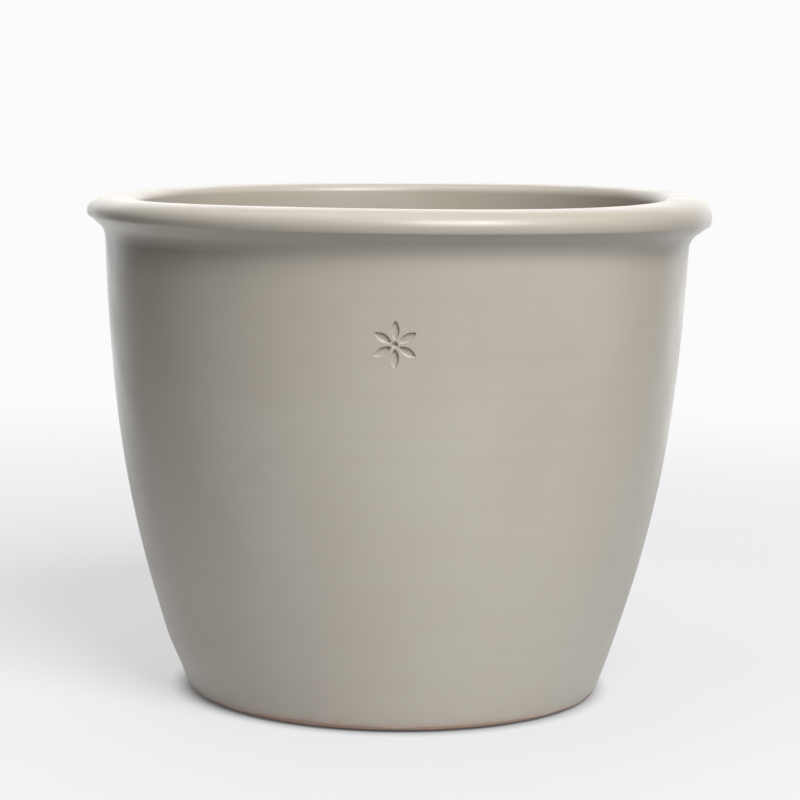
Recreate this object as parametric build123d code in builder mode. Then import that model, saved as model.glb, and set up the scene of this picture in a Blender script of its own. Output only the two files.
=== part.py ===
from build123d import *
import os
from math import asin, cos, degrees, radians, sin

# A terracotta plant pot with a rolled rim, drawn as the clay members that it is luted together from
# and the grey coat that covers them. The pot stands on Z = 0 with its axis on Z, and its stamp faces
# -Y. Every member is a profile turned about the axis, and only the stamp and the drainage hole are
# cut afterwards. Lengths are millimetres. Leans are degrees from the vertical, outwards.

# Driving dimensions of the finished, coated pot
pot_height = 322.0
rim_radius = 200.0
coat_thickness = 0.6

# The outside of the clay, as tangent arcs that climb from the foot to the cove under the roll
foot_radius = 133.5
foot_lean = 19.5
foot_curve = 1200.0
foot_rounding = 4.0
belly_lean = 16.0
belly_curve = 715.0
shoulder_lean = 6.0
shoulder_curve = 1390.0
neck_lean = 2.0
cove_curve = 16.0
cove_lean = 48.0

# The floor slab
slab_height = 20.0
recess_radius = 108.0
recess_height = 3.0
recess_rounding = 2.0
drain_radius = 15.0
drain_rounding = 1.5

# The wall, its seat in the floor slab, and the coil pressed into the inside corner
wall_thickness = 17.5
throat_curve = 280.0
seat_depth = 2.5
seat_shoulder = 3.0
corner_coil_curve = 20.0

# The roll: a small inner lip, a shallow crown, and an outside curve that tucks under to the crease
saddle_height = 6.0
lip_curve = 5.9
crown_slope = 7.5
roll_curve = 11.9
roll_tuck = 20.0
crease_curve = 0.8
crease_step = 1.2

# The coat's two ends
coat_foot_gap = 4.0
coat_depth_inside = 60.0

# The stamp, pressed into the clay before it is coated: plain petals round a dot
stamp_place = 0.5
stamp_depth = 1.6
stamp_clearance = 1.0
stamp_backing = 5.0
petal_count = 6
petal_start = 2.9
petal_end = 13.5
petal_bulge = 2.1
stamp_dot_radius = 1.5

os.makedirs("parts", exist_ok=True)


def lean_after(lean, curve, climb):
    """The lean that is left after climbing that high along an arc that turns towards the axis."""
    return degrees(asin(sin(radians(lean)) - climb / curve))


# The profile lines are drawn flat, with X as the distance from the axis and Y as the height.
# First the outside of the clay. The seam is where the wall stands on the floor slab.
seam_lean = lean_after(foot_lean, foot_curve, slab_height)

with BuildLine() as outside:
    slab_side = JernArc(
        (foot_radius, 0), Vector(0, 1).rotate(Axis.Z, -foot_lean), foot_curve, foot_lean - seam_lean
    )
    foot = JernArc(slab_side @ 1, slab_side % 1, foot_curve, seam_lean - belly_lean)
    belly = JernArc(foot @ 1, foot % 1, belly_curve, belly_lean - shoulder_lean)
    shoulder = JernArc(belly @ 1, belly % 1, shoulder_curve, shoulder_lean - neck_lean)
    cove = JernArc(shoulder @ 1, shoulder % 1, cove_curve, neck_lean - cove_lean)

# The inside of the wall follows the outside at the wall's thickness, then straightens in the throat
inner_seam = (foot @ 0) + wall_thickness * (foot % 0).rotate(Axis.Z, 90)

with BuildLine() as inside:
    inner_foot = JernArc(
        inner_seam, foot % 0, foot_curve - wall_thickness, seam_lean - belly_lean
    )
    inner_belly = JernArc(
        inner_foot @ 1, foot % 1, belly_curve - wall_thickness, belly_lean - shoulder_lean
    )
    inner_shoulder = JernArc(
        inner_belly @ 1, belly % 1, shoulder_curve - wall_thickness, shoulder_lean - neck_lean
    )
    throat = JernArc(inner_shoulder @ 1, shoulder % 1, throat_curve, neck_lean)

# The roll's section, up the throat, over the crown, and round to the ledge above the cove. The crown
# is as wide as the rim leaves between the inner lip and the outside curve.
mouth_radius = (throat @ 1).X
rim_width = rim_radius - coat_thickness - mouth_radius
crown_width = rim_width - (lip_curve + roll_curve) * (1.0 - sin(radians(crown_slope)))
crown_curve = crown_width / (2.0 * sin(radians(crown_slope)))
crown_rise = crown_curve * (1.0 - cos(radians(crown_slope)))
lip_height = pot_height - coat_thickness - crown_rise - lip_curve * cos(radians(crown_slope))

with BuildLine() as over_the_rim:
    mouth = Line(throat @ 1, (mouth_radius, lip_height))
    lip = JernArc(mouth @ 1, mouth % 1, lip_curve, crown_slope - 90.0)
    crown = JernArc(lip @ 1, lip % 1, crown_curve, -2.0 * crown_slope)
    roll = JernArc(crown @ 1, crown % 1, roll_curve, crown_slope - 90.0 - roll_tuck)
    crease = JernArc(roll @ 1, roll % 1, crease_curve, roll_tuck - 90.0)
    step = Line(crease @ 1, (crease @ 1) - Vector(crease_step, 0))
    ledge = Line(step @ 1, cove @ 1)

# The stamp's plane touches the front of the clay part of the way up the shoulder
stamp_point = shoulder @ stamp_place
stamp_rise = shoulder % stamp_place
stamp_plane = Plane(
    origin=(0, -stamp_point.X, stamp_point.Y),
    x_dir=(1, 0, 0),
    z_dir=(0, -stamp_rise.Y, -stamp_rise.X),
)

with BuildSketch() as petal:
    with BuildLine():
        SagittaArc((0, petal_start), (0, petal_end), petal_bulge)
        SagittaArc((0, petal_end), (0, petal_start), petal_bulge)
    make_face()

with BuildSketch() as rosette:
    with PolarLocations(0, petal_count):
        add(petal.sketch)
    Circle(stamp_dot_radius)

# The coat lines the stamp, so the clay under it is hollowed wider by the coat's thickness
with BuildSketch() as lined_rosette:
    add(rosette.sketch)
    offset(amount=coat_thickness)

# Wall: thrown clay, flared into the cove, domed on top for the roll, and seated in the floor slab
seat_inner = Vector(inner_seam.X, slab_height)
seat_outer = (foot @ 0) - Vector(seat_shoulder, 0)

with BuildPart() as wall:
    with BuildSketch(Plane.XZ):
        with BuildLine():
            add([foot, belly, shoulder, cove])
            SagittaArc(cove @ 1, throat @ 1, -saddle_height)
            add([inner_foot, inner_belly, inner_shoulder, throat])
            Line(inner_seam, seat_inner)
            SagittaArc(seat_inner, seat_outer, -seat_depth)
            Line(seat_outer, foot @ 0)
        make_face()
    revolve(axis=Axis.Z)
    with BuildSketch(stamp_plane.offset(stamp_clearance)):
        add(lined_rosette.sketch)
    extrude(amount=-stamp_clearance - stamp_depth, mode=Mode.SUBTRACT)

wall.part.label = "wall"
export_step(wall.part, "parts/wall.step")

# Floor slab: the foot's rounded edge, a shallow recess that leaves a foot ring, and the drainage hole
with BuildPart() as floor_slab:
    with BuildSketch(Plane.XZ):
        with BuildLine():
            add(slab_side)
            Line(slab_side @ 1, seat_outer)
            SagittaArc(seat_outer, seat_inner, seat_depth)
            Polyline(seat_inner, (drain_radius, slab_height), (drain_radius, recess_height))
            Polyline((drain_radius, recess_height), (recess_radius, recess_height), (recess_radius, 0))
            Line((recess_radius, 0), slab_side @ 0)
        make_face()
        fillet(vertices().sort_by_distance(slab_side @ 0)[0], radius=foot_rounding)
        fillet(vertices().sort_by_distance((recess_radius, 0))[0], radius=recess_rounding)
        fillet(vertices().sort_by(Axis.X)[:2], radius=drain_rounding)
    revolve(axis=Axis.Z)

floor_slab.part.label = "floor_slab"
export_step(floor_slab.part, "parts/floor_slab.step")

# Corner coil: rounds the inside corner, tangent to the floor slab's top and to the inside of the wall
foot_centre = (slab_side @ 0) + foot_curve * (slab_side % 0).rotate(Axis.Z, 90)
coil_reach = foot_curve - wall_thickness - corner_coil_curve
coil_lean = degrees(asin((foot_centre.Y - slab_height - corner_coil_curve) / coil_reach))
coil_start = Vector(foot_centre.X + coil_reach * cos(radians(coil_lean)), slab_height)

with BuildPart() as corner_coil:
    with BuildSketch(Plane.XZ):
        with BuildLine():
            hollow = JernArc(coil_start, (1, 0), corner_coil_curve, 90.0 - coil_lean)
            RadiusArc(hollow @ 1, inner_seam, foot_curve - wall_thickness)
            Polyline(inner_seam, seat_inner, coil_start)
        make_face()
    revolve(axis=Axis.Z)

corner_coil.part.label = "corner_coil"
export_step(corner_coil.part, "parts/corner_coil.step")

# Roll: the coil that saddles the top of the wall
with BuildPart() as rim_roll:
    with BuildSketch(Plane.XZ):
        with BuildLine():
            add([mouth, lip, crown, roll, crease, step, ledge])
            SagittaArc(cove @ 1, throat @ 1, -saddle_height)
        make_face()
    revolve(axis=Axis.Z)

rim_roll.part.label = "rim_roll"
export_step(rim_roll.part, "parts/rim_roll.step")

# Coat: one even skin from just above the foot, over the roll and down inside. Its two ends are where
# the slab's side and the inside of the shoulder are trimmed.
coat_foot_lean = lean_after(foot_lean, foot_curve, coat_foot_gap)
coat_foot_start = (foot_lean - coat_foot_lean) / (foot_lean - seam_lean)
inner_climb = pot_height - coat_depth_inside - (inner_shoulder @ 0).Y
coat_end_lean = lean_after(shoulder_lean, shoulder_curve - wall_thickness, inner_climb)
coat_inner_end = (shoulder_lean - coat_end_lean) / (shoulder_lean - neck_lean)

with BuildPart() as grey_coat:
    # Up to the neck the coat starts on a backing inside the wall, for the stamp to be pressed into
    with BuildSketch(Plane.XZ):
        with BuildLine():
            add(slab_side.trim(coat_foot_start, 1))
            add([foot, belly, shoulder])
            offset(amount=coat_thickness, side=Side.RIGHT)
        make_face()
        with BuildLine():
            add([foot, belly, shoulder])
            offset(amount=stamp_backing, side=Side.LEFT)
        make_face()
    revolve(axis=Axis.Z)
    with BuildSketch(stamp_plane.offset(coat_thickness + stamp_clearance)):
        add(rosette.sketch)
    extrude(amount=-stamp_clearance - stamp_depth, mode=Mode.SUBTRACT)
    # The hollowed wall takes the backing away again, and leaves the coat lining the stamp
    add(wall.part, mode=Mode.SUBTRACT)
    # From the inside of the shoulder up over the roll and down to the neck
    with BuildSketch(Plane.XZ):
        with BuildLine():
            add(inner_shoulder.trim(coat_inner_end, 1))
            add([throat, mouth, lip, crown, roll, crease, step, ledge, cove])
            offset(amount=coat_thickness, side=Side.LEFT)
        make_face()
    revolve(axis=Axis.Z)

grey_coat.part.label = "grey_coat"
export_step(grey_coat.part, "parts/grey_coat.step")
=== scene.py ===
from math import asin, ceil, cos, degrees, pi, radians, sin

import bpy
import numpy as np
from mathutils import Matrix, Vector


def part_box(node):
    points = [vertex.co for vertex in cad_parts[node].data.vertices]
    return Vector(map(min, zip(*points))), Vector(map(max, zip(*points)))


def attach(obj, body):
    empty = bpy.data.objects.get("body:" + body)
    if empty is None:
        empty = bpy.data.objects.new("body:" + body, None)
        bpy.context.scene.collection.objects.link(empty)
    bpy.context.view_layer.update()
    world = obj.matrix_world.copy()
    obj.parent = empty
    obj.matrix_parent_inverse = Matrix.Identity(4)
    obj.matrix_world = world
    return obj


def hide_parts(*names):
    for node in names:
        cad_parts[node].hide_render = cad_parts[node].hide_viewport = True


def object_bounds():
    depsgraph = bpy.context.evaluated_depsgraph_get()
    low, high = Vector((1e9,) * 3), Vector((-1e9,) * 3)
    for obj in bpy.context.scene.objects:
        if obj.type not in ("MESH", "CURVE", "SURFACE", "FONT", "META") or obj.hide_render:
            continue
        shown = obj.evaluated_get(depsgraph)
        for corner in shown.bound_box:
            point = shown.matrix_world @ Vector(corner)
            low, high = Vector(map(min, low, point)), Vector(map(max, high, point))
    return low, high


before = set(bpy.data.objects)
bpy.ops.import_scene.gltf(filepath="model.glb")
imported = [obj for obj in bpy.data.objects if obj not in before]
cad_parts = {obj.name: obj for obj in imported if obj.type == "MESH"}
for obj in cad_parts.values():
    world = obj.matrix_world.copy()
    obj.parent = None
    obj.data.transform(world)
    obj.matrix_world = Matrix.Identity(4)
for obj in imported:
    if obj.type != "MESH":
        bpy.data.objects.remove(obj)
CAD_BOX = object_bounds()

# A hand-thrown terracotta pot with a rolled rim and a satin grey coat. The frame holds it as true
# turned members. Here each member is turned again as a fine mesh from the same outline, and one set of
# soft irregularities moves all of them alike, so that they stay nested. The stamp on the front is
# pressed into the coat and the wall as geometry.

MM = 0.001

# The pot's size and the heights of its members, from the frame
RIM_RADIUS = (CAD_BOX[1][0] - CAD_BOX[0][0]) / 2
POT_HEIGHT = CAD_BOX[1][2] - CAD_BOX[0][2]
SLAB_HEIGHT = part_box("floor_slab")[1].z
COAT_FOOT_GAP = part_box("grey_coat")[0].z

# The outside of the clay: tangent arcs that climb from the foot to the cove under the roll.
# Leans are degrees from the vertical, outwards.
FOOT_RADIUS = 133.5 * MM
FOOT_LEAN = 19.5
FOOT_CURVE = 1200 * MM
FOOT_ROUNDING = 4 * MM
BELLY_LEAN = 16.0
BELLY_CURVE = 715 * MM
SHOULDER_LEAN = 6.0
SHOULDER_CURVE = 1390 * MM
NECK_LEAN = 2.0
COVE_CURVE = 16 * MM
COVE_LEAN = 48.0

# The inside and the floor
WALL = 17.5 * MM
THROAT_CURVE = 280 * MM
SEAT_DEPTH = 2.5 * MM
SEAT_SHOULDER = 3 * MM
SADDLE_HEIGHT = 6 * MM
CORNER_COIL_CURVE = 20 * MM
RECESS_RADIUS = 108 * MM
RECESS_HEIGHT = 3 * MM
RECESS_ROUNDING = 2 * MM
DRAIN_RADIUS = 15 * MM
DRAIN_ROUNDING = 1.5 * MM

# The roll
LIP_CURVE = 5.9 * MM
CROWN_SLOPE = 7.5
ROLL_CURVE = 11.9 * MM
ROLL_TUCK = 20.0
CREASE_CURVE = 0.8 * MM
CREASE_STEP = 1.2 * MM

# The coat, which ends that far below the rim inside. Under the roll it has a low ridge round the neck
# and, at the crease, a groove. The groove goes that share of the way to the clay, each of its sides
# takes that share of the ledge's width, and the ledge is smooth again that many sides further in.
COAT = 0.6 * MM
COAT_DEPTH_INSIDE = 60 * MM
COAT_INSIDE_END = POT_HEIGHT - COAT_DEPTH_INSIDE
RIDGE = 0.8 * MM
RIDGE_DEPTH = 2.6 * MM
GROOVE_DEPTH = 0.65
GROOVE_SIDE = 0.45
GROOVE_RUN = 3

# The coat's two ends. Each wavers up and down, most at the end itself and not at all beyond its
# reach. A waver has a height, a seed, its waves round the pot and how fast shorter waves get smaller.
# The foot end also gets thinner, and the inside end keeps to the wall's lean there. How thin the coat
# looks is how near the end is, from 0 to 1, times a gain and less a start.
FOOT_END_REACH = 9 * MM
FOOT_END_WAVER = 1.3 * MM
FOOT_END_SEED = 11
FOOT_END_WAVES = range(2, 26)
FOOT_END_FALL = 0.6
FOOT_END_GAIN = 1.5
FOOT_END_START = 0.45
THIN_END = 0.45 * MM
INSIDE_END_REACH = 24 * MM
INSIDE_END_WAVER = 4.5 * MM
INSIDE_END_SEED = 23
INSIDE_END_WAVES = range(2, 40)
INSIDE_END_FALL = 0.7
INSIDE_END_GAIN = 1.3
INSIDE_END_START = 0.5
INSIDE_END_LEAN = 3.2
INSIDE_RADIUS = 0.86 * RIM_RADIUS

# The stamp: plain petals round a dot, halfway up the shoulder
STAMP_DEPTH = 1.6 * MM
STAMP_EDGE = 0.35 * MM
STAMP_BURR = 0.07 * MM
STAMP_REACH = 15 * MM
PETAL_COUNT = 6
PETAL_START = 2.9 * MM
PETAL_END = 13.5 * MM
PETAL_BULGE = 2.1 * MM
STAMP_DOT = 1.5 * MM

# How finely the members are drawn. The fine stretch at the stamp is measured at that radius.
WALL_STEP = 5 * MM
STAMP_STEP = 0.3 * MM
RING_STEP = 2.5 * MM
ROLL_STEP = 0.9 * MM
FINE_STEP = 0.3 * MM
TURN_STEP = radians(1.5)
STAMP_RADIUS = 0.92 * RIM_RADIUS
ROUNDING_COUNT = 6
HOLLOW_COUNT = 24
SHARP_EDGE = radians(50)

# The potter's hand, shared by all members. Angles are about the axis, 0 at the stamp and growing to
# the right as seen from the front. A wave of the roll's height is its count round the pot, its size
# and its place. A wave of the wall is its count, its share of OUT_OF_ROUND, its place, and how far it
# turns per metre of height. The wall is fully out of round only from that height up.
ROLL_MEAN = 15.4 * MM
ROLL_WAVES = (
    (1, 4.2 * MM, radians(126)),
    (2, 1.35 * MM, radians(-86)),
    (3, 0.5 * MM, radians(-46)),
)
ROLL_ASIDE = 1.2 * MM
ROLL_ASIDE_REACH = 14 * MM
BACK_RISE = 3.0 * MM
BACK_RISE_PLACE = radians(155)
RIM_WAVE_START = 200 * MM
RIM_SADDLE = 0.9 * MM
RIM_TILT = -0.6 * MM
OUT_OF_ROUND = 0.0012
OUT_OF_ROUND_FROM = 3 * SLAB_HEIGHT
WALL_WAVES = ((2, 1.0, 0.7, 4), (3, 0.5, 2.1, -9), (5, 0.3, -0.4, 13))
FOOT_DENT = 2.4 * MM
FOOT_DENT_START = 10 * MM
FOOT_DENT_END = 38 * MM

# The foot ring's outer edge is lifted between these distances inside the foot's radius
FOOT_LIFT = 1.0 * MM
FOOT_LIFT_START = 9 * MM
FOOT_LIFT_END = 3 * MM

# Rings that fingers leave inside the wall, and the swirl that they leave on the floor
RING_PITCH = 11 * MM
RING_PITCH_SWING = 4 * MM
RING_PITCH_DRIFT = 60 * MM
RING_HEIGHT = 0.32 * MM
RING_HEIGHT_SWING = 0.3
RING_HEIGHT_DRIFT = 23 * MM
RING_START = (5 * MM, 30 * MM)
RING_END = (75 * MM, 50 * MM)
SWIRL_DEPTH = 0.35 * MM
SWIRL_PITCH = 13 * MM
SWIRL_START = (4 * MM, 16 * MM)
SWIRL_END = (92 * MM, 102 * MM)

# Where the raw clay is washed grey: above the foot's lowest edge, and more and more up the inside.
# On that lowest edge it is darkened with painted shade, standing in for the contact shadow. Heights are
# above the ground, and the margin is kept from the recess and from the foot's radius.
WASHED_FOOT = (0.3 * MM, 1.6 * MM)
WASHED_INSIDE = (-0.3 * POT_HEIGHT, COAT_INSIDE_END)
FOOT_SHADE_HEIGHTS = (0.2 * MM, 1.3 * MM)
FOOT_EDGE_MARGIN = 8 * MM

# Screen colours, 0 to 255, of the coat and of the clay
COAT_DEEP = (162, 155, 144)
COAT_PALE = (166, 160, 149)
COAT_STREAK = (156, 149, 138)
COAT_SPECK = (128, 119, 107)
COAT_THIN = (172, 132, 110)
CLAY_DEEP = (168, 101, 70)
CLAY_PALE = (193, 124, 90)
CLAY_LINES = (205, 141, 108)
CLAY_BLOOM = (214, 178, 154)
CLAY_GRAIN = (126, 78, 56)
CLAY_WASHED = (150, 142, 131)
# Painted shade: the dark of the contact shadow on the foot's lowest edge
CLAY_FOOT_SHADE = (78, 68, 61)

# The studio floor glows a little and fades out with distance. Its glow is left out under the pot and
# close round its foot, as a painted contact shadow. Sizes are metres from the pot's axis.
FLOOR_RINGS = (0.5, 1.0, 2.0, 4.0, 8.0)
FLOOR_SIDES = 96
FLOOR_DEEP = (0.22, 0.223, 0.23, 1.0)
FLOOR_PALE = (0.23, 0.233, 0.24, 1.0)
FLOOR_GLOW = 0.55
FLOOR_PAINTED_SHADOW = (0.123, 0.146)
FLOOR_FADE = (0.3, 1.6)

# The surroundings: the white that the camera sees, and the tint and strength of what lights the pot.
# The strength goes from the first to the second WALL_GLOW as a direction's Y goes from the first to
# the second WALL_SPREAD, so the far side is a brightly lit wall.
SEEN_WHITE = (0.965, 0.965, 0.97)
STUDIO_TINT = (0.97, 0.98, 1.0, 1.0)
WALL_SPREAD = (0.6, 0.85)
WALL_GLOW = (0.03, 2.1)

# The lights
SOFTBOX_TURN = radians(26)
SOFTBOX_RISE = radians(43)
SOFTBOX_DISTANCE = 3.2
SOFTBOX_SIZE = (1.6, 1.6)
SOFTBOX_POWER = 158.0
SOFTBOX_TINT = (0.985, 0.995, 1.0)
TOP_LIGHT_PLACE = (-0.3, 0.05, 1.5)
TOP_LIGHT_AIM = (0.1, 0.1, 0.2)
TOP_LIGHT_SIZE = (1.2, 1.2)
TOP_LIGHT_POWER = 9.0

# The camera
CAMERA_PLACE = (0.0034, -1.564, 0.373)
CAMERA_PITCH = 6.79
CAMERA_ROLL = 1.0
CAMERA_LENS = 109.1
CAMERA_SENSOR = 36.0


# ---------------------------------------------------------------- the section


def right_of(lean):
    """The unit vector to the right of a line with that lean, in the section's plane."""
    return np.array([cos(radians(lean)), -sin(radians(lean))])


def lean_after(lean, curve, climb):
    """The lean that is left after climbing that high along an arc that turns towards the axis."""
    return degrees(asin(sin(radians(lean)) - climb / curve))


class Outline:
    """A line walked in the section's plane, X away from the axis and Y up. It runs beside the clay's
    own outline, that far to its right."""

    def __init__(self, point, lean, aside):
        self.lean = lean
        self.aside = aside
        self.points = [np.array(point) + aside * right_of(lean)]

    def arc(self, curve, turn, step):
        """Turns by so many degrees, to the right when positive, on an arc of the clay's outline."""
        side = 1 if turn > 0 else -1
        reach = curve - side * self.aside
        centre = self.points[-1] + side * reach * right_of(self.lean)
        count = max(1, ceil(reach * radians(abs(turn)) / step))
        for k in range(1, count + 1):
            self.points.append(centre - side * reach * right_of(self.lean + turn * k / count))
        self.lean += turn
        return self


def straight_between(start, end, step):
    """Points on a straight line after its start, up to and with its end."""
    count = max(1, ceil(np.linalg.norm(end - start) / step))
    return [start + (end - start) * k / count for k in range(1, count + 1)]


def bowed_between(start, end, rise, count=16):
    """Points of a flat arc between two points, both left out, bowed upwards by its rise."""
    shares = [k / count for k in range(1, count)]
    return [start + (end - start) * t + np.array([0, 4 * rise * t * (1 - t)]) for t in shares]


def from_height(points, height):
    """The part of a climbing line above a height, with the point where it crosses it."""
    k = next(k for k in range(1, len(points)) if points[k][1] > height)
    low, high = points[k - 1], points[k]
    return [low + (high - low) * (height - low[1]) / (high[1] - low[1])] + points[k:]


def to_shoulder(aside, step):
    """The line beside the clay's outside, from the ground to the start of the shoulder."""
    line = Outline((FOOT_RADIUS, 0), FOOT_LEAN, aside)
    line.arc(FOOT_CURVE, BELLY_LEAN - FOOT_LEAN, step)
    return line.arc(BELLY_CURVE, SHOULDER_LEAN - BELLY_LEAN, step)


def climb(aside, step, stamp_step=None):
    """The line beside the clay's outside, from the ground to the neck. The shoulder has a finer
    stretch at the stamp if that is asked for."""
    line = to_shoulder(aside, step)
    turn = NECK_LEAN - SHOULDER_LEAN
    band = -degrees(2 * STAMP_REACH / SHOULDER_CURVE)
    line.arc(SHOULDER_CURVE, (turn - band) / 2, step)
    line.arc(SHOULDER_CURVE, band, stamp_step or step)
    return line.arc(SHOULDER_CURVE, (turn - band) / 2, step)


def outside(aside):
    """Up the outside and out along the cove."""
    return climb(aside, WALL_STEP, STAMP_STEP).arc(COVE_CURVE, COVE_LEAN - NECK_LEAN, ROLL_STEP).points


def inside(aside, step):
    """Up the inside of the wall and its throat."""
    return climb(aside, step).arc(THROAT_CURVE, -NECK_LEAN, ROLL_STEP * 2).points


NECK = outside(0)[-1]
THROAT_TOP = inside(-WALL, WALL_STEP)[-1]
MOUTH_RADIUS = THROAT_TOP[0]

# The crown is as wide as the rim leaves between the inner lip and the roll's outside curve
CROWN_WIDTH = (
    RIM_RADIUS - COAT - MOUTH_RADIUS - (LIP_CURVE + ROLL_CURVE) * (1 - sin(radians(CROWN_SLOPE)))
)
CROWN_CURVE = CROWN_WIDTH / (2 * sin(radians(CROWN_SLOPE)))
CROWN_RISE = CROWN_CURVE * (1 - cos(radians(CROWN_SLOPE)))
LIP_HEIGHT = POT_HEIGHT - COAT - CROWN_RISE - LIP_CURVE * cos(radians(CROWN_SLOPE))


def over_the_rim(aside):
    """From the mouth over the lip, the crown and the roll, round the crease."""
    line = Outline((MOUTH_RADIUS, LIP_HEIGHT), 0.0, aside)
    line.arc(LIP_CURVE, 90 - CROWN_SLOPE, ROLL_STEP)
    line.arc(CROWN_CURVE, 2 * CROWN_SLOPE, ROLL_STEP * 2)
    line.arc(ROLL_CURVE, 90 - CROWN_SLOPE + ROLL_TUCK, ROLL_STEP)
    line.arc(CREASE_CURVE, 90 - ROLL_TUCK, FINE_STEP)
    return line.points


CREASE_END = over_the_rim(0)[-1]
CREASE_HEIGHT = CREASE_END[1]
STEP_END = CREASE_END - np.array([CREASE_STEP, 0])

# The seam between the wall and the floor slab
SEAM = from_height(outside(0), SLAB_HEIGHT)[0]
INNER_SEAM = SEAM - WALL * right_of(lean_after(FOOT_LEAN, FOOT_CURVE, SLAB_HEIGHT))
SEAT_INNER = np.array([INNER_SEAM[0], SLAB_HEIGHT])
SEAT_OUTER = SEAM - np.array([SEAT_SHOULDER, 0])


def coat_section():
    """The coat, in two parts: its surface from its inside end over the roll and down to the foot, and
    its back along the clay."""
    up = from_height(inside(-WALL - COAT, WALL_STEP), COAT_INSIDE_END)
    rim = over_the_rim(-COAT)
    down = from_height(outside(COAT), COAT_FOOT_GAP)
    top = down[-1][1]
    down = [p + np.array([RIDGE * max(0.0, 1 - (top - p[1]) / RIDGE_DEPTH), 0]) for p in down]
    neck = down[-1]
    ledge = (STEP_END - NECK) / np.linalg.norm(STEP_END - NECK)
    corner = neck + ledge * (rim[-1][1] - neck[1]) / ledge[1]
    side = GROOVE_SIDE * (rim[-1][0] - corner[0])
    groove = [
        corner + np.array([side, 0]),
        corner + GROOVE_DEPTH * (STEP_END - corner),
        corner - side * ledge,
        corner - GROOVE_RUN * side * ledge,
    ]
    surface = up + straight_between(up[-1], rim[0], WALL_STEP)[:-1] + rim + groove + down[::-1]
    clay_up = from_height(outside(0), COAT_FOOT_GAP)
    clay_rim = [STEP_END] + over_the_rim(0)[::-1]
    clay_down = from_height(inside(-WALL, WALL_STEP), COAT_INSIDE_END)[::-1]
    return surface, clay_up + clay_rim + clay_down


def wall_section():
    """The wall, in two parts: up its outside and over the dome that carries the roll, and down its
    inside to its seat."""
    up = from_height(outside(0), SLAB_HEIGHT)
    down = from_height(inside(-WALL, RING_STEP), INNER_SEAM[1])[::-1]
    dome = bowed_between(up[-1], down[0], SADDLE_HEIGHT)
    seat = bowed_between(SEAT_INNER, SEAT_OUTER, -SEAT_DEPTH)
    return up + dome, down + [SEAT_INNER] + seat + [SEAT_OUTER]


def rounding(centre, radius, start, turn, count=ROUNDING_COUNT):
    """Points of a rounding about a centre, from one angle and by another, both in degrees."""
    angles = [radians(start + turn * k / count) for k in range(count + 1)]
    return [np.array(centre) + radius * np.array([cos(a), sin(a)]) for a in angles]


def slab_section():
    """The floor slab: the foot ring, its side, the seat for the wall, the floor, the drainage hole
    and the recess underneath."""
    side = from_height(climb(0, WALL_STEP / 2).points, FOOT_ROUNDING)
    side = [p for p in side if p[1] < SLAB_HEIGHT] + [SEAM]
    foot = from_height(climb(-FOOT_ROUNDING, WALL_STEP / 2).points, FOOT_ROUNDING)[0]
    foot_edge = rounding(foot, FOOT_ROUNDING, -90, 90 - FOOT_LEAN)
    seat = bowed_between(SEAT_OUTER, SEAT_INNER, -SEAT_DEPTH)
    hole = DRAIN_RADIUS + DRAIN_ROUNDING
    floor_edge = rounding((hole, SLAB_HEIGHT - DRAIN_ROUNDING), DRAIN_ROUNDING, 90, 90)
    under_edge = rounding((hole, RECESS_HEIGHT + DRAIN_ROUNDING), DRAIN_ROUNDING, 180, 90)
    ring_start = (RECESS_RADIUS + RECESS_ROUNDING, RECESS_ROUNDING)
    ring_edge = rounding(ring_start, RECESS_ROUNDING, 180, 90)
    corner = np.array([RECESS_RADIUS, RECESS_HEIGHT])
    floor = straight_between(SEAT_INNER, floor_edge[0], RING_STEP)[:-1]
    bore = straight_between(floor_edge[-1], under_edge[0], RING_STEP)[:-1]
    ceiling = straight_between(under_edge[-1], corner, RING_STEP * 2)
    ring = straight_between(ring_edge[-1], foot_edge[0], RING_STEP)[:-1]
    outer = foot_edge + side[1:] + [SEAT_OUTER] + seat + [SEAT_INNER]
    return outer + floor + floor_edge + bore + under_edge + ceiling + ring_edge + ring


def coil_section():
    """The corner coil: its hollow face, and its two backs against the wall and the floor slab."""
    reach = FOOT_CURVE - WALL - CORNER_COIL_CURVE
    foot_centre = np.array([FOOT_RADIUS, 0]) - FOOT_CURVE * right_of(FOOT_LEAN)
    lean = degrees(asin((foot_centre[1] - SLAB_HEIGHT - CORNER_COIL_CURVE) / reach))
    centre = foot_centre + reach * right_of(lean)
    hollow = rounding(centre, CORNER_COIL_CURVE, -90, 90 - lean, HOLLOW_COUNT)
    back = from_height(climb(-WALL, RING_STEP).points, INNER_SEAM[1])
    back = [p for p in back if p[1] < hollow[-1][1]][::-1]
    base = straight_between(SEAT_INNER, hollow[0], RING_STEP)[:-1]
    return hollow + back + [SEAT_INNER] + base


def roll_section():
    """The roll: its surface, the ledge above the cove, and the hollow that sits on the wall."""
    surface = over_the_rim(0) + [STEP_END]
    ledge = straight_between(STEP_END, NECK, ROLL_STEP)
    saddle = bowed_between(NECK, THROAT_TOP, SADDLE_HEIGHT)
    mouth = straight_between(THROAT_TOP, surface[0], WALL_STEP)[:-1]
    return surface + ledge + saddle + [THROAT_TOP] + mouth


# ---------------------------------------------------------------- the potter's hand


def smooth(low, high, value):
    """A soft step from 0 below low to 1 above high."""
    t = np.clip((value - low) / (high - low), 0, 1)
    return t * t * (3 - 2 * t)


def front_angle(points):
    """The angle about the axis: 0 at the stamp, and growing to the right as seen from the front."""
    return np.arctan2(points[:, 0], -points[:, 1])


def from_axis(points):
    """Each point's distance from the axis."""
    return np.hypot(points[:, 0], points[:, 1])


def grown_by(points, share, climbed=0.0):
    """The points with their distance from the axis multiplied, and moved up."""
    return np.column_stack([points[:, 0] * share, points[:, 1] * share, points[:, 2] + climbed])


def roll_heights(angle, back_rise):
    """How high the roll is at each angle. Where the whole rim rises at the back, the roll needs less."""
    height = ROLL_MEAN - back_rise
    for count, size, place in ROLL_WAVES:
        height = height + size * np.cos(count * angle - place)
    return height


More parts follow.
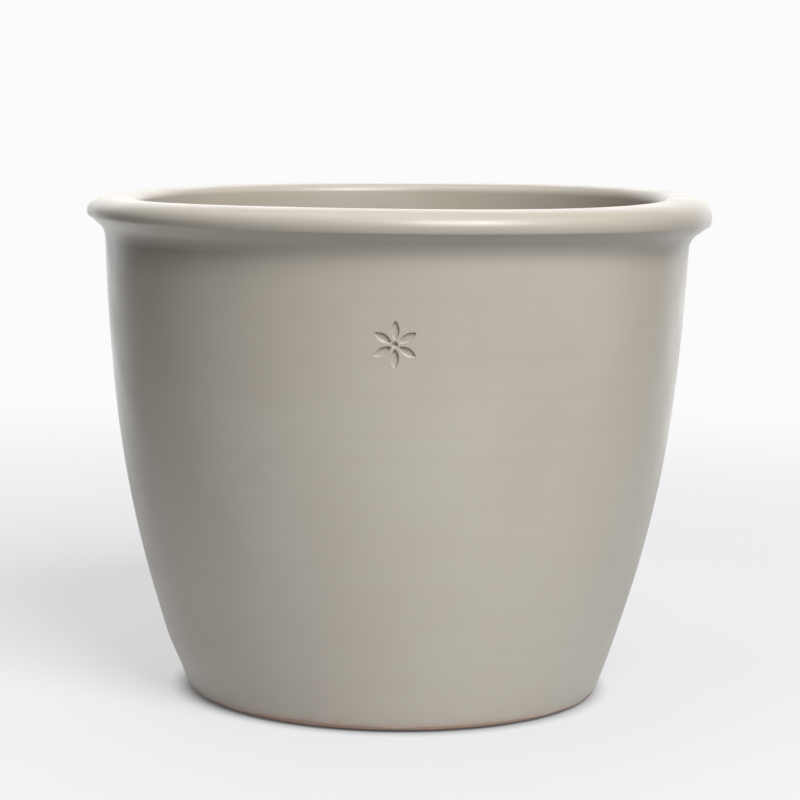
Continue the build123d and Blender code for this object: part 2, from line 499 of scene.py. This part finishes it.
def turned_uneven(points):
    """The unevenness that every member shares: a roll that is fuller on the right, a rim that isn't
    quite flat, a wall that isn't quite round and a foot that is flatter on the left."""
    x, y, z = points.T
    angle = front_angle(points)
    back_rise = BACK_RISE * np.clip(np.cos(angle - BACK_RISE_PLACE), 0, 1) ** 2
    over = np.clip(z - CREASE_HEIGHT, 0, None)
    new_z = z - over * (1 - roll_heights(angle, back_rise) / (POT_HEIGHT - CREASE_HEIGHT))
    rising = smooth(RIM_WAVE_START, CREASE_HEIGHT, z)
    new_z += rising * (RIM_SADDLE * np.sin(2 * angle) + RIM_TILT * np.sin(angle) + back_rise)
    waves = sum(
        share * np.sin(count * angle + place + turn * z) for count, share, place, turn in WALL_WAVES
    )
    swell = 1 + smooth(0, OUT_OF_ROUND_FROM, z) * OUT_OF_ROUND * waves
    low = 1 - smooth(FOOT_DENT_START, FOOT_DENT_END, z)
    swell = swell - FOOT_DENT / FOOT_RADIUS * np.clip(-np.sin(angle), 0, 1) ** 2 * low
    aside = ROLL_ASIDE * smooth(CREASE_HEIGHT - ROLL_ASIDE_REACH, CREASE_HEIGHT, z)
    return np.column_stack([x * swell + aside, y * swell, new_z])


def waver(angle, seed, counts, fall):
    """A closed wavering line round the pot, between -1 and 1: waves of random strength and place."""
    draw = np.random.default_rng(seed)
    total = np.zeros_like(angle)
    for count in counts:
        total += draw.normal() * np.cos(count * angle + draw.uniform(0, 2 * pi)) / count**fall
    return total / np.abs(total).max()


def throwing_rings(points):
    """How far the rings that fingers leave stand out, as a spiral climbing the inside of the wall."""
    angle = front_angle(points)
    z = points[:, 2]
    pitch = RING_PITCH + RING_PITCH_SWING * np.sin(z / RING_PITCH_DRIFT)
    swing = RING_HEIGHT_SWING * np.sin(z / RING_HEIGHT_DRIFT + angle)
    height = RING_HEIGHT * (1 - RING_HEIGHT_SWING + swing)
    start = smooth(SLAB_HEIGHT + RING_START[0], SLAB_HEIGHT + RING_START[1], z)
    end = smooth(POT_HEIGHT - RING_END[0], POT_HEIGHT - RING_END[1], z)
    return start * (1 - end) * height * np.sin(2 * pi * z / pitch + angle)


def petal_distance(x, y):
    """Distance from the outline of the nearest petal or the dot, negative inside it."""
    middle = (PETAL_START + PETAL_END) / 2
    half = (PETAL_END - PETAL_START) / 2
    radius = (half**2 + PETAL_BULGE**2) / (2 * PETAL_BULGE)
    offset = radius - PETAL_BULGE
    nearest = np.hypot(x, y) - STAMP_DOT
    for k in range(PETAL_COUNT):
        turn = 2 * pi * k / PETAL_COUNT
        across = np.abs(x * cos(turn) - y * sin(turn))
        up = np.abs(x * sin(turn) + y * cos(turn) - middle)
        on_side = np.hypot(across + offset, up) - radius
        at_tip = np.hypot(across, up - half)
        past_tip = (up - half) * offset > across * half
        nearest = np.minimum(nearest, np.where(past_tip, at_tip, on_side))
    return nearest


def stamp_place():
    """The stamp's middle in the section's plane: halfway up the shoulder, on the clay."""
    line = to_shoulder(0.0, WALL_STEP)
    return line.arc(SHOULDER_CURVE, (NECK_LEAN - SHOULDER_LEAN) / 2, WALL_STEP).points[-1]


def pressed(points, grow, aside):
    """Presses the stamp into the points near it. grow widens the petals, and aside is how far the
    surface lies outside the clay."""
    lean = radians((SHOULDER_LEAN + NECK_LEAN) / 2)
    place = stamp_place()
    outward = np.array([0, -cos(lean), -sin(lean)])
    upward = np.array([0, -sin(lean), cos(lean)])
    offset = points - np.array([0, -place[0], place[1]])
    across, up, out = offset[:, 0], offset @ upward, offset @ outward
    near = (np.abs(across) < STAMP_REACH) & (np.abs(up) < STAMP_REACH) & (out > -WALL / 2)
    distance = np.where(near, petal_distance(across, up) - grow, STAMP_REACH)
    share = 1 - smooth(-STAMP_EDGE, STAMP_EDGE, distance)
    sink = np.where(near, (out - aside + STAMP_DEPTH) * share, 0)
    burr = STAMP_BURR * np.exp(-(((distance - 2 * STAMP_EDGE) / STAMP_EDGE) ** 2))
    return points + np.outer(np.where(near, burr, 0) - sink, outward)


# ---------------------------------------------------------------- meshes


def turn_angles(stamped):
    """Angles about the axis, evenly spaced, with a finer stretch at the stamp if there is one."""
    if not stamped:
        return TURN_STEP * np.arange(round(2 * pi / TURN_STEP))
    reach = STAMP_REACH / STAMP_RADIUS
    fine = np.linspace(-reach, reach, ceil(2 * STAMP_REACH / STAMP_STEP) + 1)
    coarse = np.linspace(reach, 2 * pi - reach, ceil((2 * pi - 2 * reach) / TURN_STEP) + 1)
    return np.concatenate([fine, coarse[1:-1]])


def turned_points(section, angles):
    """Every point of a section, turned to every angle."""
    section = np.array(section)
    radius = np.tile(section[:, 0], len(angles))
    height = np.tile(section[:, 1], len(angles))
    angle = np.repeat(angles, len(section))
    return np.column_stack([radius * np.sin(angle), -radius * np.cos(angle), height])


def turned_mesh(name, points, count, material):
    """A closed mesh from the turned points of a section with that many points."""
    column = np.arange(len(points) // count)[:, None] * count
    row = np.arange(count)[None, :]
    next_column = np.roll(column, -1, axis=0)
    next_row = np.roll(row, -1, axis=1)
    corners = (column + row, next_column + row, next_column + next_row, column + next_row)
    quads = np.stack(corners, -1).reshape(-1, 4)
    places = points[quads]
    volume = np.einsum("ij,ij->i", places[:, 0], np.cross(places[:, 1], places[:, 2])).sum()
    if volume < 0:
        quads = quads[:, ::-1]
    mesh = bpy.data.meshes.new(name)
    mesh.from_pydata(points.tolist(), [], quads.tolist())
    mesh.polygons.foreach_set("use_smooth", np.ones(len(quads), bool))
    mesh.set_sharp_from_angle(angle=SHARP_EDGE)
    mesh.materials.append(material)
    piece = bpy.data.objects.new(name, mesh)
    bpy.context.scene.collection.objects.link(piece)
    return piece


def finish_piece(piece, node):
    """Fixes a piece to the pot's body in its CAD node's place."""
    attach(piece, "root")
    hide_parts(node)


def keep_value(piece, name, values):
    """Stores one number for each vertex, for a material to read."""
    attribute = piece.data.attributes.new(name, "FLOAT", "POINT")
    attribute.data.foreach_set("value", np.asarray(values, np.float32))


# ---------------------------------------------------------------- materials


class Nodes:
    """Short names for building one material's nodes."""

    def __init__(self, name):
        self.material = bpy.data.materials.new(name)
        self.material.use_nodes = True
        self.tree = self.material.node_tree
        self.shader = self.tree.nodes["Principled BSDF"]
        self.place = self.add("ShaderNodeTexCoord").outputs["Object"]

    def add(self, kind, **settings):
        """A new node with these settings."""
        node = self.tree.nodes.new(kind)
        for key, value in settings.items():
            setattr(node, key, value)
        return node

    def feed(self, socket, value):
        """Links another node's output to a socket, or sets the socket to a plain value."""
        if isinstance(value, bpy.types.NodeSocket):
            self.tree.links.new(value, socket)
        else:
            socket.default_value = value

    def stretched(self, across, up):
        """The place on the pot scaled sideways and upwards, which draws a noise out into rings."""
        node = self.add("ShaderNodeMapping")
        self.feed(node.inputs["Vector"], self.place)
        node.inputs["Scale"].default_value = (across, across, up)
        return node.outputs["Vector"]

    def noise(self, scale, detail=3.0, roughness=0.55, vector=None, distortion=0.0):
        """Noise of that many waves per metre, or of one wave per unit of a stretched place."""
        node = self.add("ShaderNodeTexNoise")
        self.feed(node.inputs["Vector"], vector or self.place)
        node.inputs["Scale"].default_value = scale
        node.inputs["Detail"].default_value = detail
        node.inputs["Roughness"].default_value = roughness
        node.inputs["Distortion"].default_value = distortion
        return node.outputs["Fac"]

    def spots(self, scale):
        """Distance from scattered points, that many of them along a metre."""
        node = self.add("ShaderNodeTexVoronoi")
        self.feed(node.inputs["Vector"], self.place)
        node.inputs["Scale"].default_value = scale
        return node.outputs["Distance"]

    def ranged(self, value, low, high, to_low=0.0, to_high=1.0):
        """A soft step from one value to another as the input goes from low to high."""
        node = self.add("ShaderNodeMapRange", interpolation_type="SMOOTHSTEP")
        self.feed(node.inputs["Value"], value)
        set_range(node, (low, high, to_low, to_high))
        return node.outputs["Result"]

    def math(self, operation, first, second):
        """A sum or a product of two values."""
        node = self.add("ShaderNodeMath", operation=operation)
        self.feed(node.inputs[0], first)
        self.feed(node.inputs[1], second)
        return node.outputs["Value"]

    def mixed(self, share, first, second):
        """The second colour over the first, by a share."""
        node = self.add("ShaderNodeMix", data_type="RGBA")
        self.feed(node.inputs["Factor"], share)
        self.feed(node.inputs[6], first)
        self.feed(node.inputs[7], second)
        return node.outputs[2]

    def stored(self, name):
        """A number that the mesh stores for each vertex, or 0 where it stores none."""
        return self.add("ShaderNodeAttribute", attribute_name=name).outputs["Fac"]

    def bumped(self, value, distance, strength, normal=None):
        """The surface's direction bumped by a height, on top of an earlier bump if there is one."""
        node = self.add("ShaderNodeBump")
        node.inputs["Strength"].default_value = strength
        node.inputs["Distance"].default_value = distance
        self.feed(node.inputs["Height"], value)
        if normal is not None:
            self.feed(node.inputs["Normal"], normal)
        return node.outputs["Normal"]


def set_range(node, numbers):
    """Sets a range node's four ends: from low, from high, to low and to high."""
    for name, number in zip(("From Min", "From Max", "To Min", "To Max"), numbers):
        node.inputs[name].default_value = number


def colour(screen):
    """A colour from its 0 to 255 screen values, none of them nearly black."""
    return (*[((value / 255 + 0.055) / 1.055) ** 2.4 for value in screen], 1.0)


def grey_coat_material():
    """Warm putty grey, satin, with soft clouds, faint turned streaks, fine specks and, where it is
    thin, the clay's colour coming through."""
    n = Nodes("grey coat")
    clouds = n.ranged(n.noise(scale=9, detail=4, roughness=0.6), 0.35, 0.68)
    base = n.mixed(clouds, colour(COAT_DEEP), colour(COAT_PALE))
    drawn_out = n.stretched(across=3, up=170)
    streaks = n.ranged(n.noise(scale=1, detail=5, roughness=0.65, vector=drawn_out), 0.4, 0.66)
    base = n.mixed(n.math("MULTIPLY", streaks, 0.16), base, colour(COAT_STREAK))
    specks = n.ranged(n.spots(scale=130), 0.045, 0.085, to_low=1.0, to_high=0.0)
    rare = n.ranged(n.noise(scale=60, detail=2), 0.5, 0.7)
    specks = n.math("MULTIPLY", specks, rare)
    base = n.mixed(n.math("MULTIPLY", specks, 0.2), base, colour(COAT_SPECK))
    patches = n.noise(scale=120, detail=4, roughness=0.6)
    patches = n.ranged(patches, 0.25, 0.75, to_low=-0.35, to_high=0.35)
    thin = n.ranged(n.math("ADD", n.stored("thin"), patches), 0.35, 1.35)
    thin = n.math("MULTIPLY", thin, 0.5)
    n.feed(n.shader.inputs["Base Color"], n.mixed(thin, base, colour(COAT_THIN)))
    satin = n.ranged(n.noise(scale=26, detail=4), 0.3, 0.7, to_low=0.35, to_high=0.42)
    drier = n.math("MULTIPLY", thin, 0.2)
    n.feed(n.shader.inputs["Roughness"], n.math("ADD", satin, drier))
    n.shader.inputs["Specular IOR Level"].default_value = 0.5
    rings = n.noise(scale=1, detail=3, roughness=0.5, vector=n.stretched(across=5, up=230))
    rings = n.bumped(rings, distance=0.05 * MM, strength=0.5)
    skin = n.noise(scale=340, detail=3, roughness=0.5)
    skin = n.bumped(skin, distance=0.05 * MM, strength=0.6, normal=rings)
    pits = n.ranged(n.spots(scale=150), 0.02, 0.06)
    pits = n.bumped(pits, distance=0.04 * MM, strength=0.5, normal=skin)
    n.feed(n.shader.inputs["Normal"], pits)
    return n.material


def terracotta_material():
    """Raw fired clay: orange brown with soft blotches, sandy grains, faint pale bloom and a dry
    surface that the potter's fingers have drawn into fine turned lines. It is washed grey where the mesh
    says so, and darkened with painted shade, for the contact shadow, on the foot's lowest edge."""
    n = Nodes("terracotta")
    blotches = n.ranged(n.noise(scale=14, detail=5, roughness=0.6), 0.3, 0.72)
    base = n.mixed(blotches, colour(CLAY_DEEP), colour(CLAY_PALE))
    drawn_out = n.stretched(across=6, up=260)
    lines = n.ranged(n.noise(scale=1, detail=4, roughness=0.6, vector=drawn_out), 0.35, 0.68)
    base = n.mixed(n.math("MULTIPLY", lines, 0.4), base, colour(CLAY_LINES))
    bloom = n.ranged(n.noise(scale=22, detail=6, roughness=0.65, distortion=0.6), 0.56, 0.78)
    base = n.mixed(n.math("MULTIPLY", bloom, 0.45), base, colour(CLAY_BLOOM))
    grains = n.ranged(n.spots(scale=700), 0.08, 0.2, to_low=1.0, to_high=0.0)
    few = n.ranged(n.noise(scale=240, detail=2), 0.52, 0.6)
    grains = n.math("MULTIPLY", grains, few)
    base = n.mixed(grains, base, colour(CLAY_GRAIN))
    patchy = n.noise(scale=26, detail=4, roughness=0.6)
    patchy = n.ranged(patchy, 0.3, 0.7, to_low=0.62, to_high=0.9)
    washed = n.math("MULTIPLY", n.stored("wiped"), patchy)
    base = n.mixed(washed, base, colour(CLAY_WASHED))
    # Painted shade: the foot's lowest edge is darkened where the contact shadow falls
    patchy = n.ranged(n.noise(scale=80, detail=3), 0.2, 0.6, to_low=0.6, to_high=0.9)
    foot_shade = n.math("MULTIPLY", n.stored("foot_shade"), patchy)
    n.feed(n.shader.inputs["Base Color"], n.mixed(foot_shade, base, colour(CLAY_FOOT_SHADE)))
    dry = n.ranged(n.noise(scale=60, detail=3), 0.3, 0.7, to_low=0.78, to_high=0.92)
    n.feed(n.shader.inputs["Roughness"], dry)
    n.shader.inputs["Specular IOR Level"].default_value = 0.3
    turned = n.noise(scale=1, detail=4, roughness=0.55, vector=n.stretched(across=8, up=420))
    turned = n.bumped(turned, distance=0.25 * MM, strength=0.7)
    sandy = n.noise(scale=900, detail=4, roughness=0.6)
    sandy = n.bumped(sandy, distance=0.12 * MM, strength=0.7, normal=turned)
    n.feed(n.shader.inputs["Normal"], sandy)
    return n.material


def floor_material():
    """Matt studio floor with a slight glow, left dark in a ring at the foot as a painted contact
    shadow, that fades out with distance and shows the white surroundings."""
    n = Nodes("studio floor")
    tone = n.ranged(n.noise(scale=1.4, detail=3), 0.3, 0.7)
    n.feed(n.shader.inputs["Base Color"], n.mixed(tone, FLOOR_DEEP, FLOOR_PALE))
    n.shader.inputs["Roughness"].default_value = 0.9
    n.shader.inputs["Specular IOR Level"].default_value = 0.1
    away = n.add("ShaderNodeVectorMath", operation="LENGTH")
    n.feed(away.inputs[0], n.place)
    # Painted shadow: the glow is left out under the pot and in a ring round its foot
    glow = n.ranged(away.outputs["Value"], *FLOOR_PAINTED_SHADOW, to_high=FLOOR_GLOW)
    n.feed(n.shader.inputs["Emission Strength"], glow)
    n.shader.inputs["Emission Color"].default_value = (*SEEN_WHITE, 1.0)
    clear = n.add("ShaderNodeBsdfTransparent")
    blend = n.add("ShaderNodeMixShader")
    n.feed(blend.inputs["Fac"], n.ranged(away.outputs["Value"], *FLOOR_FADE))
    n.feed(blend.inputs[1], n.shader.outputs["BSDF"])
    n.feed(blend.inputs[2], clear.outputs["BSDF"])
    n.feed(n.tree.nodes["Material Output"].inputs["Surface"], blend.outputs["Shader"])
    return n.material


# ---------------------------------------------------------------- the pot


def slid_ends(points, on_surface):
    """Moves the coat's two ends up and down, so that neither is a ruled line, and thins its foot end.
    Also gives how near each point is to the foot end and to the inside end, from 0 to 1."""
    angle = front_angle(points)
    z = points[:, 2]
    radius = from_axis(points)
    foot = np.clip(1 - (z - COAT_FOOT_GAP) / FOOT_END_REACH, 0, 1)
    within = (radius < INSIDE_RADIUS) & (z > COAT_INSIDE_END - MM)
    inner = np.clip(1 - (z - COAT_INSIDE_END) / INSIDE_END_REACH, 0, 1) * within
    foot_waver = FOOT_END_WAVER * waver(angle, FOOT_END_SEED, FOOT_END_WAVES, FOOT_END_FALL)
    inner_waver = INSIDE_END_WAVER * waver(angle, INSIDE_END_SEED, INSIDE_END_WAVES, INSIDE_END_FALL)
    climbed = foot * foot_waver + inner * inner_waver
    slope = np.where(foot > 0, np.tan(radians(FOOT_LEAN)), np.tan(radians(INSIDE_END_LEAN)))
    grown = (radius + climbed * slope - THIN_END * foot**2 * on_surface) / radius
    return grown_by(points, grown, climbed), foot, inner


def make_coat(material):
    """The coat's skin, with the stamp pressed into it and lining the stamp in the wall."""
    surface, back = coat_section()
    count = len(surface) + len(back)
    angles = turn_angles(True)
    points = turned_points(surface + back, angles)
    on_surface = np.tile(np.arange(count) < len(surface), len(angles))
    points = np.where(on_surface[:, None], pressed(points, 0.0, COAT), pressed(points, COAT, 0.0))
    points, foot, inner = slid_ends(points, on_surface)
    piece = turned_mesh("grey_coat_skin", turned_uneven(points), count, material)
    thin = np.clip(foot * FOOT_END_GAIN - FOOT_END_START, 0, 1)
    thin += np.clip(inner * INSIDE_END_GAIN - INSIDE_END_START, 0, 1)
    keep_value(piece, "thin", np.clip(thin * on_surface, 0, 1))
    finish_piece(piece, "grey_coat")


def make_wall(material):
    """The thrown wall, with the stamp pressed into it and throwing rings inside."""
    outer, inner = wall_section()
    count = len(outer) + len(inner)
    angles = turn_angles(True)
    points = pressed(turned_points(outer + inner, angles), COAT, 0.0)
    radius = from_axis(points)
    on_inside = np.tile(np.arange(count) > len(outer), len(angles))
    points = grown_by(points, (radius + throwing_rings(points) * on_inside) / radius)
    piece = turned_mesh("thrown_wall", turned_uneven(points), count, material)
    keep_value(piece, "wiped", on_inside * smooth(*WASHED_INSIDE, points[:, 2]))
    finish_piece(piece, "wall")


def make_slab(material):
    """The pot's floor, with a swirl on top and a lifted foot ring, washed grey, with painted shade on
    its lowest edge.
    """
    section = slab_section()
    points = turned_points(section, turn_angles(False))
    radius = from_axis(points)
    on_top = points[:, 2] > SLAB_HEIGHT - FINE_STEP
    fade = smooth(DRAIN_RADIUS + SWIRL_START[0], DRAIN_RADIUS + SWIRL_START[1], radius)
    fade *= 1 - smooth(*SWIRL_END, radius)
    swirl = 1 + np.sin(2 * pi * radius / SWIRL_PITCH + front_angle(points))
    points[:, 2] -= on_top * SWIRL_DEPTH * swirl * fade
    z = points[:, 2].copy()
    edge_start = RECESS_RADIUS + FOOT_EDGE_MARGIN
    lift_place = smooth(FOOT_RADIUS - FOOT_LIFT_START, FOOT_RADIUS - FOOT_LIFT_END, radius)
    points[:, 2] += FOOT_LIFT * (1 - smooth(0, FOOT_ROUNDING, z)) * lift_place
    piece = turned_mesh("pot_floor", turned_uneven(points), len(section), material)
    keep_value(piece, "wiped", smooth(*WASHED_FOOT, z) * (radius > edge_start))
    # Painted shade on the foot ring's lowest edge, standing in for the contact shadow
    foot_shade_place = smooth(edge_start, FOOT_RADIUS - FOOT_EDGE_MARGIN, radius)
    keep_value(piece, "foot_shade", (1 - smooth(*FOOT_SHADE_HEIGHTS, z)) * foot_shade_place)
    finish_piece(piece, "floor_slab")


def make_plain(name, node, section, material):
    """A member with nothing but the shared unevenness."""
    points = turned_points(section, turn_angles(False))
    piece = turned_mesh(name, turned_uneven(points), len(section), material)
    finish_piece(piece, node)


# ---------------------------------------------------------------- the studio


def make_floor(material):
    """A wide round floor."""
    count = FLOOR_SIDES
    turns = [2 * pi * k / count for k in range(count)]
    points = [(0.0, 0.0, 0.0)]
    for ring in FLOOR_RINGS:
        points += [(ring * cos(turn), ring * sin(turn), 0.0) for turn in turns]
    faces = [(0, 1 + k, 1 + (k + 1) % count) for k in range(count)]
    for inner in range(1, 1 + (len(FLOOR_RINGS) - 1) * count, count):
        outer = inner + count
        for k in range(count):
            after = (k + 1) % count
            faces.append((inner + k, outer + k, outer + after, inner + after))
    mesh = bpy.data.meshes.new("studio_floor")
    mesh.from_pydata(points, [], faces)
    mesh.materials.append(material)
    floor = bpy.data.objects.new("studio_floor", mesh)
    bpy.context.scene.collection.objects.link(floor)


def area_light(name, place, aim, size, power, tint=(1, 1, 1)):
    """A soft rectangular light that faces a point."""
    lamp = bpy.data.lights.new(name, "AREA")
    lamp.shape = "RECTANGLE"
    lamp.size, lamp.size_y = size
    lamp.energy = power
    lamp.color = tint
    holder = bpy.data.objects.new(name, lamp)
    holder.location = place
    holder.rotation_euler = (Vector(aim) - Vector(place)).to_track_quat("-Z", "Y").to_euler()
    bpy.context.scene.collection.objects.link(holder)


def make_lights():
    """A large softbox to the right of the camera and above it, and a soft light overhead."""
    middle = Vector((0, 0, POT_HEIGHT / 2))
    level = cos(SOFTBOX_RISE)
    towards = Vector((sin(SOFTBOX_TURN) * level, -cos(SOFTBOX_TURN) * level, sin(SOFTBOX_RISE)))
    place = middle + SOFTBOX_DISTANCE * towards
    area_light("softbox", place, middle, SOFTBOX_SIZE, SOFTBOX_POWER, SOFTBOX_TINT)
    area_light("top_light", TOP_LIGHT_PLACE, TOP_LIGHT_AIM, TOP_LIGHT_SIZE, TOP_LIGHT_POWER)


def make_surroundings():
    """A dim studio with a brightly lit white wall on the far side. What the camera sees of it is
    plain white."""
    world = bpy.data.worlds.new("studio")
    world.use_nodes = True
    tree = world.node_tree
    place = tree.nodes.new("ShaderNodeTexCoord")
    split = tree.nodes.new("ShaderNodeSeparateXYZ")
    tree.links.new(place.outputs["Generated"], split.inputs["Vector"])
    strength = tree.nodes.new("ShaderNodeMapRange")
    strength.interpolation_type = "SMOOTHSTEP"
    tree.links.new(split.outputs["Y"], strength.inputs["Value"])
    set_range(strength, (*WALL_SPREAD, *WALL_GLOW))
    lit = tree.nodes["Background"]
    lit.inputs["Color"].default_value = STUDIO_TINT
    tree.links.new(strength.outputs["Result"], lit.inputs["Strength"])
    seen = tree.nodes.new("ShaderNodeBackground")
    seen.inputs["Color"].default_value = (*SEEN_WHITE, 1.0)
    path = tree.nodes.new("ShaderNodeLightPath")
    blend = tree.nodes.new("ShaderNodeMixShader")
    tree.links.new(path.outputs["Is Camera Ray"], blend.inputs["Fac"])
    tree.links.new(lit.outputs["Background"], blend.inputs[1])
    tree.links.new(seen.outputs["Background"], blend.inputs[2])
    tree.links.new(blend.outputs["Shader"], tree.nodes["World Output"].inputs["Surface"])
    bpy.context.scene.world = world


def make_camera():
    """Just above the rim's height, looking slightly down."""
    lens = bpy.data.cameras.new("camera")
    lens.lens = CAMERA_LENS
    lens.sensor_width = CAMERA_SENSOR
    camera = bpy.data.objects.new("camera", lens)
    pitch = Matrix.Rotation(radians(90 - CAMERA_PITCH), 4, "X")
    roll = Matrix.Rotation(radians(CAMERA_ROLL), 4, "Z")
    camera.matrix_world = Matrix.Translation(CAMERA_PLACE) @ (pitch @ roll)
    bpy.context.scene.collection.objects.link(camera)
    bpy.context.scene.camera = camera


make_camera()
make_floor(floor_material())
make_lights()
make_surroundings()
bpy.context.scene.view_settings.view_transform = "Standard"

coat_finish = grey_coat_material()
clay_finish = terracotta_material()
make_coat(coat_finish)
make_wall(clay_finish)
make_slab(clay_finish)
make_plain("inside_corner_coil", "corner_coil", coil_section(), clay_finish)
make_plain("rolled_rim", "rim_roll", roll_section(), clay_finish)
